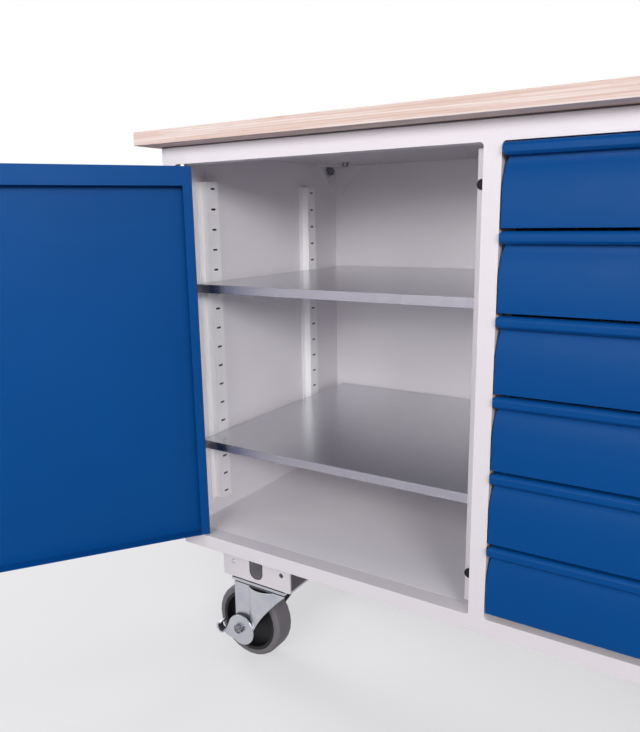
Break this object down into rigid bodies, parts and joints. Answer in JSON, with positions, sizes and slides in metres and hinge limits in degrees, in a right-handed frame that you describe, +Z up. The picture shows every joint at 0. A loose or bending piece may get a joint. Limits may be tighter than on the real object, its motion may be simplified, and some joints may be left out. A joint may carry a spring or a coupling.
{
  "type": "mobile workbench",
  "caption": "Sheet steel workbench on castors with a plywood top, an open hinged door on a shelved cupboard, and a column of drawers beside it.",
  "frame": {"origin": "middle of the worktop's upper face", "axes": "+Z up out of the worktop, -Y towards the front with the door and drawers, +X to the right"},
  "size_m": [1.2054, 0.8185, 0.8351],
  "materials": {
    "grey_paint": "smooth light grey powder coat",
    "blue_paint": "smooth mid blue powder coat",
    "galvanised": "galvanised sheet",
    "zinc": "bright zinc plating",
    "wood": "oiled beech plywood",
    "grey_tyre": "grey solid rubber",
    "black_hub": "black moulded hub",
    "black_plastic": "black turn knob",
    "black_rubber": "black rubber buffer"
  },
  "bodies": {
    "bench": {"back_panel": "grey_paint", "base_panel": "grey_paint", "castor_axle_front_right": "zinc", "castor_axle_rear_right": "zinc", "castor_bracket_front_left": "grey_paint", "castor_bracket_front_right": "grey_paint", "castor_bracket_rear_left": "grey_paint", "castor_bracket_rear_right": "grey_paint", "castor_fork_front_right": "zinc", "castor_fork_rear_right": "zinc", "castor_plate_front_left": "zinc", "castor_plate_rear_left": "zinc", "corner_bracket_left": "grey_paint", "corner_bracket_right": "grey_paint", "door_buffer_bottom": "black_rubber", "door_buffer_top": "black_rubber", "front_frame": "grey_paint", "hinge_pin_bottom": "zinc", "hinge_pin_top": "zinc", "left_side_panel": "grey_paint", "lower_shelf": "galvanised", "partition_panel": "grey_paint", "right_side_panel": "grey_paint", "runner_rack_left": "galvanised", "runner_rack_right": "galvanised", "shelf_standard_left_front": "grey_paint", "shelf_standard_left_rear": "grey_paint", "shelf_standard_right_front": "grey_paint", "shelf_standard_right_rear": "grey_paint", "top_panel": "grey_paint", "upper_shelf": "galvanised", "worktop": "wood"},
    "door": {"door_panel": "blue_paint"},
    "door_lock": {"door_lock": "black_plastic"},
    "drawer_1": {"drawer_front_1": "blue_paint", "drawer_box_1": "grey_paint"},
    "drawer_2": {"drawer_front_2": "blue_paint", "drawer_box_2": "grey_paint"},
    "drawer_3": {"drawer_front_3": "blue_paint", "drawer_box_3": "grey_paint"},
    "drawer_4": {"drawer_front_4": "blue_paint", "drawer_box_4": "grey_paint"},
    "drawer_5": {"drawer_front_5": "blue_paint", "drawer_box_5": "grey_paint"},
    "drawer_6": {"drawer_front_6": "blue_paint", "drawer_box_6": "grey_paint"},
    "castor_front_left": {"castor_fork_front_left": "zinc", "castor_axle_front_left": "zinc"},
    "brake_front_left": {"brake_lever_front_left": "zinc"},
    "wheel_front_left": {"tyre_front_left": "grey_tyre", "hub_front_left": "black_hub"},
    "wheel_front_right": {"tyre_front_right": "grey_tyre", "hub_front_right": "black_hub"},
    "castor_rear_left": {"castor_fork_rear_left": "zinc", "castor_axle_rear_left": "zinc"},
    "brake_rear_left": {"brake_lever_rear_left": "zinc"},
    "wheel_rear_left": {"tyre_rear_left": "grey_tyre", "hub_rear_left": "black_hub"},
    "wheel_rear_right": {"tyre_rear_right": "grey_tyre", "hub_rear_right": "black_hub"}
  },
  "joints": [
    {"name": "door_swing", "type": "hinge", "parent": "bench", "child": "door", "pos_m": [-0.44957, -0.2095, 0], "axis": [0, 0, 1], "range_deg": [0, 125]},
    {"name": "lock_turn", "type": "hinge", "parent": "door", "child": "door_lock", "pos_m": [-0.68428, -0.53599, -0.3163], "axis": [-0.8192, 0.5736, 0], "range_deg": [0, 90]},
    {"name": "drawer_1_slide", "type": "slide", "parent": "bench", "child": "drawer_1", "axis": [0, -1, 0], "range_m": [0, 0.38]},
    {"name": "drawer_2_slide", "type": "slide", "parent": "bench", "child": "drawer_2", "axis": [0, -1, 0], "range_m": [0, 0.38]},
    {"name": "drawer_3_slide", "type": "slide", "parent": "bench", "child": "drawer_3", "axis": [0, -1, 0], "range_m": [0, 0.38]},
    {"name": "drawer_4_slide", "type": "slide", "parent": "bench", "child": "drawer_4", "axis": [0, -1, 0], "range_m": [0, 0.38]},
    {"name": "drawer_5_slide", "type": "slide", "parent": "bench", "child": "drawer_5", "axis": [0, -1, 0], "range_m": [0, 0.38]},
    {"name": "drawer_6_slide", "type": "slide", "parent": "bench", "child": "drawer_6", "axis": [0, -1, 0], "range_m": [0, 0.38]},
    {"name": "castor_front_left_swivel", "type": "hinge", "parent": "bench", "child": "castor_front_left", "pos_m": [-0.384, -0.12, -0.6801], "axis": [0, 0, 1], "continuous": true},
    {"name": "brake_front_left_press", "type": "hinge", "parent": "castor_front_left", "child": "brake_front_left", "pos_m": [-0.424, -0.12, -0.7726], "axis": [0, -1, 0], "range_deg": [0, 20]},
    {"name": "wheel_front_left_roll", "type": "hinge", "parent": "castor_front_left", "child": "wheel_front_left", "pos_m": [-0.424, -0.12, -0.7726], "axis": [0, 1, 0], "continuous": true},
    {"name": "wheel_front_right_roll", "type": "hinge", "parent": "bench", "child": "wheel_front_right", "pos_m": [0.384, -0.12, -0.7726], "axis": [0, 1, 0], "continuous": true},
    {"name": "castor_rear_left_swivel", "type": "hinge", "parent": "bench", "child": "castor_rear_left", "pos_m": [-0.384, 0.155, -0.6801], "axis": [0, 0, 1], "continuous": true},
    {"name": "brake_rear_left_press", "type": "hinge", "parent": "castor_rear_left", "child": "brake_rear_left", "pos_m": [-0.424, 0.155, -0.7726], "axis": [0, -1, 0], "range_deg": [0, 20]},
    {"name": "wheel_rear_left_roll", "type": "hinge", "parent": "castor_rear_left", "child": "wheel_rear_left", "pos_m": [-0.424, 0.155, -0.7726], "axis": [0, 1, 0], "continuous": true},
    {"name": "wheel_rear_right_roll", "type": "hinge", "parent": "bench", "child": "wheel_rear_right", "pos_m": [0.384, 0.155, -0.7726], "axis": [0, 1, 0], "continuous": true}
  ]
}
